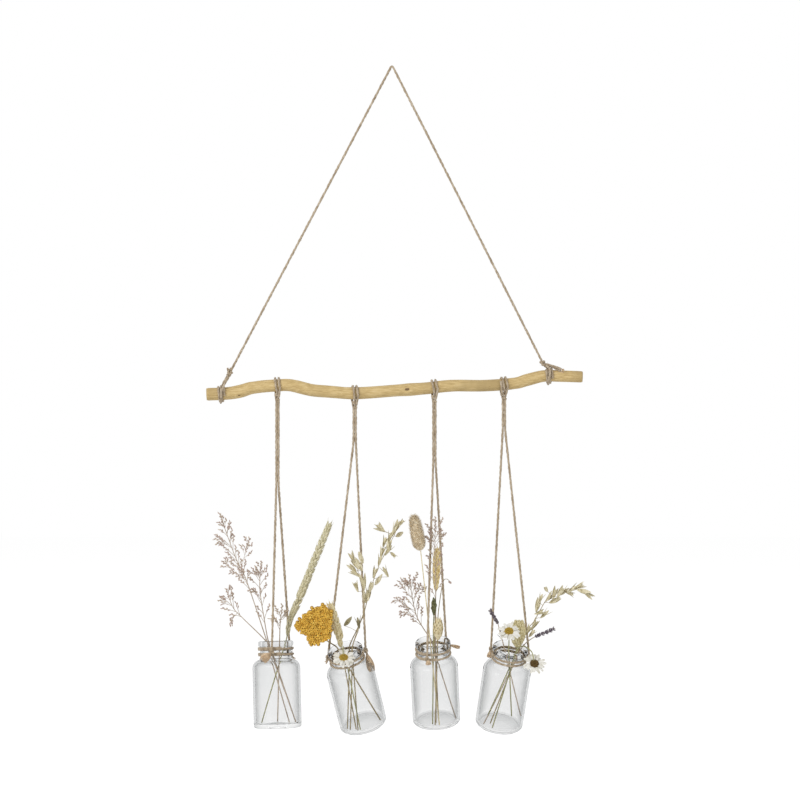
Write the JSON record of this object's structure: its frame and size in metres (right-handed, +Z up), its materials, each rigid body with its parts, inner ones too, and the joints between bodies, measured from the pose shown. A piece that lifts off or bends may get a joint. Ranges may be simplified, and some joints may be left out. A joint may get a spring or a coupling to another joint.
{
  "type": "hanging bud vase set",
  "caption": "Crooked peeled stick hung on a triangle of jute twine, with clear glass bottles slung under it that hold dried flowers.",
  "frame": {"origin": "the nail contact under the apex of the hanging twine", "axes": "+X to the right along the stick as the viewer sees it, +Y towards the wall behind, +Z up"},
  "size_m": [0.4096, 0.0819, 0.7094],
  "materials": {
    "jute_twine": "matt",
    "peeled_wood": "matt",
    "clear_glass": "gloss",
    "sea_lavender": "matt",
    "wheat": "matt",
    "green_wheat": "matt",
    "oat": "matt",
    "bunny_tail": "matt",
    "canary_grass": "matt",
    "yarrow": "matt",
    "daisy": "matt",
    "lavender": "matt",
    "green_bud": "matt",
    "straw_flower": "matt",
    "dry_stem": "matt"
  },
  "bodies": {
    "hanger": {"hanger_twine": "jute_twine", "hanger_knot_left": "jute_twine", "hanger_knot_right": "jute_twine"},
    "stick": {"stick": "peeled_wood", "end_tie_left": "jute_twine", "end_tie_right": "jute_twine", "hitch_1": "jute_twine", "hitch_2": "jute_twine", "hitch_3": "jute_twine", "hitch_4": "jute_twine"},
    "hitch_knot_1": {"hitch_knot_1": "jute_twine"},
    "sling_1": {"sling_twine_1": "jute_twine", "neck_tie_1": "jute_twine", "bottle_1": "clear_glass"},
    "hitch_knot_2": {"hitch_knot_2": "jute_twine"},
    "sling_2": {"sling_twine_2": "jute_twine", "neck_tie_2": "jute_twine", "bottle_2": "clear_glass"},
    "hitch_knot_3": {"hitch_knot_3": "jute_twine"},
    "sling_3": {"sling_twine_3": "jute_twine", "neck_tie_3": "jute_twine", "bottle_3": "clear_glass"},
    "hitch_knot_4": {"hitch_knot_4": "jute_twine"},
    "sling_4": {"sling_twine_4": "jute_twine", "neck_tie_4": "jute_twine", "bottle_4": "clear_glass"},
    "sea_lavender_tall": {"sea_lavender_tall": "sea_lavender"},
    "sea_lavender_mid": {"sea_lavender_mid": "sea_lavender"},
    "sea_lavender_low": {"sea_lavender_low": "sea_lavender"},
    "short_sprig": {"short_sprig": "sea_lavender"},
    "long_wheat_ear": {"long_wheat_ear": "green_wheat"},
    "yarrow": {"yarrow": "yarrow"},
    "mouth_daisy": {"mouth_daisy": "daisy"},
    "single_oat": {"single_oat": "oat"},
    "short_wheat_ear": {"short_wheat_ear": "wheat"},
    "left_oat": {"left_oat": "oat"},
    "right_oat": {"right_oat": "oat"},
    "bunny_tail": {"bunny_tail": "bunny_tail"},
    "left_sea_lavender": {"left_sea_lavender": "sea_lavender"},
    "gold_wheat_ear": {"gold_wheat_ear": "wheat"},
    "upright_sea_lavender": {"upright_sea_lavender": "sea_lavender"},
    "green_bud": {"green_bud": "green_bud"},
    "straw_flower": {"straw_flower": "straw_flower"},
    "curled_stem": {"curled_stem": "dry_stem"},
    "left_daisy": {"left_daisy": "daisy"},
    "right_daisy": {"right_daisy": "daisy"},
    "canary_grass_ear": {"canary_grass_ear": "canary_grass"},
    "right_lavender": {"right_lavender": "lavender"},
    "arched_oat": {"arched_oat": "oat"},
    "left_lavender": {"left_lavender": "lavender"}
  },
  "joints": [
    {"name": "stick_swing", "type": "hinge", "parent": "hanger", "child": "stick", "pos_m": [-0.1731, 0, -0.3232], "axis": [0.9994, 0, 0.0335], "range_deg": [-60, 60]},
    {"name": "sling_sway_1", "type": "hinge", "parent": "stick", "child": "hitch_knot_1", "pos_m": [-0.1219, -0.00007, -0.34974], "axis": [0, 1, 0], "range_deg": [-1.5, 1.5]},
    {"name": "sling_swing_1", "type": "hinge", "parent": "hitch_knot_1", "child": "sling_1", "pos_m": [-0.1219, -0.00007, -0.34974], "axis": [1, 0, 0], "range_deg": [-60, 60]},
    {"name": "sling_sway_2", "type": "hinge", "parent": "stick", "child": "hitch_knot_2", "pos_m": [-0.0397, 0.00026, -0.35814], "axis": [0, 1, 0], "range_deg": [-1.5, 1.5]},
    {"name": "sling_swing_2", "type": "hinge", "parent": "hitch_knot_2", "child": "sling_2", "pos_m": [-0.0397, 0.00026, -0.35814], "axis": [1, 0, 0], "range_deg": [-60, 60]},
    {"name": "sling_sway_3", "type": "hinge", "parent": "stick", "child": "hitch_knot_3", "pos_m": [0.0451, 0.00011, -0.35184], "axis": [0, 1, 0], "range_deg": [-1.5, 1.5]},
    {"name": "sling_swing_3", "type": "hinge", "parent": "hitch_knot_3", "child": "sling_3", "pos_m": [0.0451, 0.00011, -0.35184], "axis": [1, 0, 0], "range_deg": [-60, 60]},
    {"name": "sling_sway_4", "type": "hinge", "parent": "stick", "child": "hitch_knot_4", "pos_m": [0.1191, -0.00019, -0.34887], "axis": [0, 1, 0], "range_deg": [-1.5, 1.5]},
    {"name": "sling_swing_4", "type": "hinge", "parent": "hitch_knot_4", "child": "sling_4", "pos_m": [0.1191, -0.00019, -0.34887], "axis": [1, 0, 0], "range_deg": [-60, 60]},
    {"name": "sea_lavender_tall_lift", "type": "slide", "parent": "sling_1", "child": "sea_lavender_tall", "axis": [-0.3392, 0.0023, 0.9407], "range_m": [0, 0.09]},
    {"name": "sea_lavender_mid_lift", "type": "slide", "parent": "sling_1", "child": "sea_lavender_mid", "axis": [-0.3227, 0.0023, 0.9465], "range_m": [0, 0.09]},
    {"name": "sea_lavender_low_lift", "type": "slide", "parent": "sling_1", "child": "sea_lavender_low", "axis": [-0.2795, 0.0023, 0.9601], "range_m": [0, 0.09]},
    {"name": "short_sprig_lift", "type": "slide", "parent": "sling_1", "child": "short_sprig", "axis": [0.0252, 0.0024, 0.9997], "range_m": [0, 0.09]},
    {"name": "long_wheat_ear_lift", "type": "slide", "parent": "sling_1", "child": "long_wheat_ear", "axis": [0.2869, 0.0023, 0.9579], "range_m": [0, 0.09]},
    {"name": "yarrow_lift", "type": "slide", "parent": "sling_2", "child": "yarrow", "axis": [-0.4959, -0.1579, 0.8539], "range_m": [0, 0.09]},
    {"name": "mouth_daisy_lift", "type": "slide", "parent": "sling_2", "child": "mouth_daisy", "axis": [-0.1909, -0.165, 0.9676], "range_m": [0, 0.09]},
    {"name": "single_oat_lift", "type": "slide", "parent": "sling_2", "child": "single_oat", "axis": [-0.0689, -0.1631, 0.9842], "range_m": [0, 0.09]},
    {"name": "short_wheat_ear_lift", "type": "slide", "parent": "sling_2", "child": "short_wheat_ear", "axis": [-0.1724, -0.1649, 0.9711], "range_m": [0, 0.09]},
    {"name": "left_oat_lift", "type": "slide", "parent": "sling_2", "child": "left_oat", "axis": [0.0295, -0.1598, 0.9867], "range_m": [0, 0.09]},
    {"name": "right_oat_lift", "type": "slide", "parent": "sling_2", "child": "right_oat", "axis": [0.0308, -0.1598, 0.9867], "range_m": [0, 0.09]},
    {"name": "bunny_tail_lift", "type": "slide", "parent": "sling_3", "child": "bunny_tail", "axis": [-0.1094, -0.1221, 0.9865], "range_m": [0, 0.09]},
    {"name": "left_sea_lavender_lift", "type": "slide", "parent": "sling_3", "child": "left_sea_lavender", "axis": [-0.2951, -0.1185, 0.9481], "range_m": [0, 0.09]},
    {"name": "gold_wheat_ear_lift", "type": "slide", "parent": "sling_3", "child": "gold_wheat_ear", "axis": [-0.0511, -0.1223, 0.9912], "range_m": [0, 0.09]},
    {"name": "upright_sea_lavender_lift", "type": "slide", "parent": "sling_3", "child": "upright_sea_lavender", "axis": [-0.0084, -0.1222, 0.9925], "range_m": [0, 0.09]},
    {"name": "green_bud_lift", "type": "slide", "parent": "sling_3", "child": "green_bud", "axis": [0.0082, -0.1221, 0.9925], "range_m": [0, 0.09]},
    {"name": "straw_flower_lift", "type": "slide", "parent": "sling_3", "child": "straw_flower", "axis": [0.027, -0.1219, 0.9922], "range_m": [0, 0.09]},
    {"name": "curled_stem_lift", "type": "slide", "parent": "sling_3", "child": "curled_stem", "axis": [0.0184, -0.122, 0.9924], "range_m": [0, 0.09]},
    {"name": "left_daisy_lift", "type": "slide", "parent": "sling_4", "child": "left_daisy", "axis": [-0.0482, -0.1625, 0.9855], "range_m": [0, 0.09]},
    {"name": "right_daisy_lift", "type": "slide", "parent": "sling_4", "child": "right_daisy", "axis": [0.3945, -0.1587, 0.9051], "range_m": [0, 0.09]},
    {"name": "canary_grass_ear_lift", "type": "slide", "parent": "sling_4", "child": "canary_grass_ear", "axis": [0.2799, -0.1631, 0.9461], "range_m": [0, 0.09]},
    {"name": "right_lavender_lift", "type": "slide", "parent": "sling_4", "child": "right_lavender", "axis": [0.4275, -0.157, 0.8903], "range_m": [0, 0.09]},
    {"name": "arched_oat_lift", "type": "slide", "parent": "sling_4", "child": "arched_oat", "axis": [0.3474, -0.1608, 0.9238], "range_m": [0, 0.09]},
    {"name": "left_lavender_lift", "type": "slide", "parent": "sling_4", "child": "left_lavender", "axis": [-0.2345, -0.1543, 0.9598], "range_m": [0, 0.09]}
  ]
}
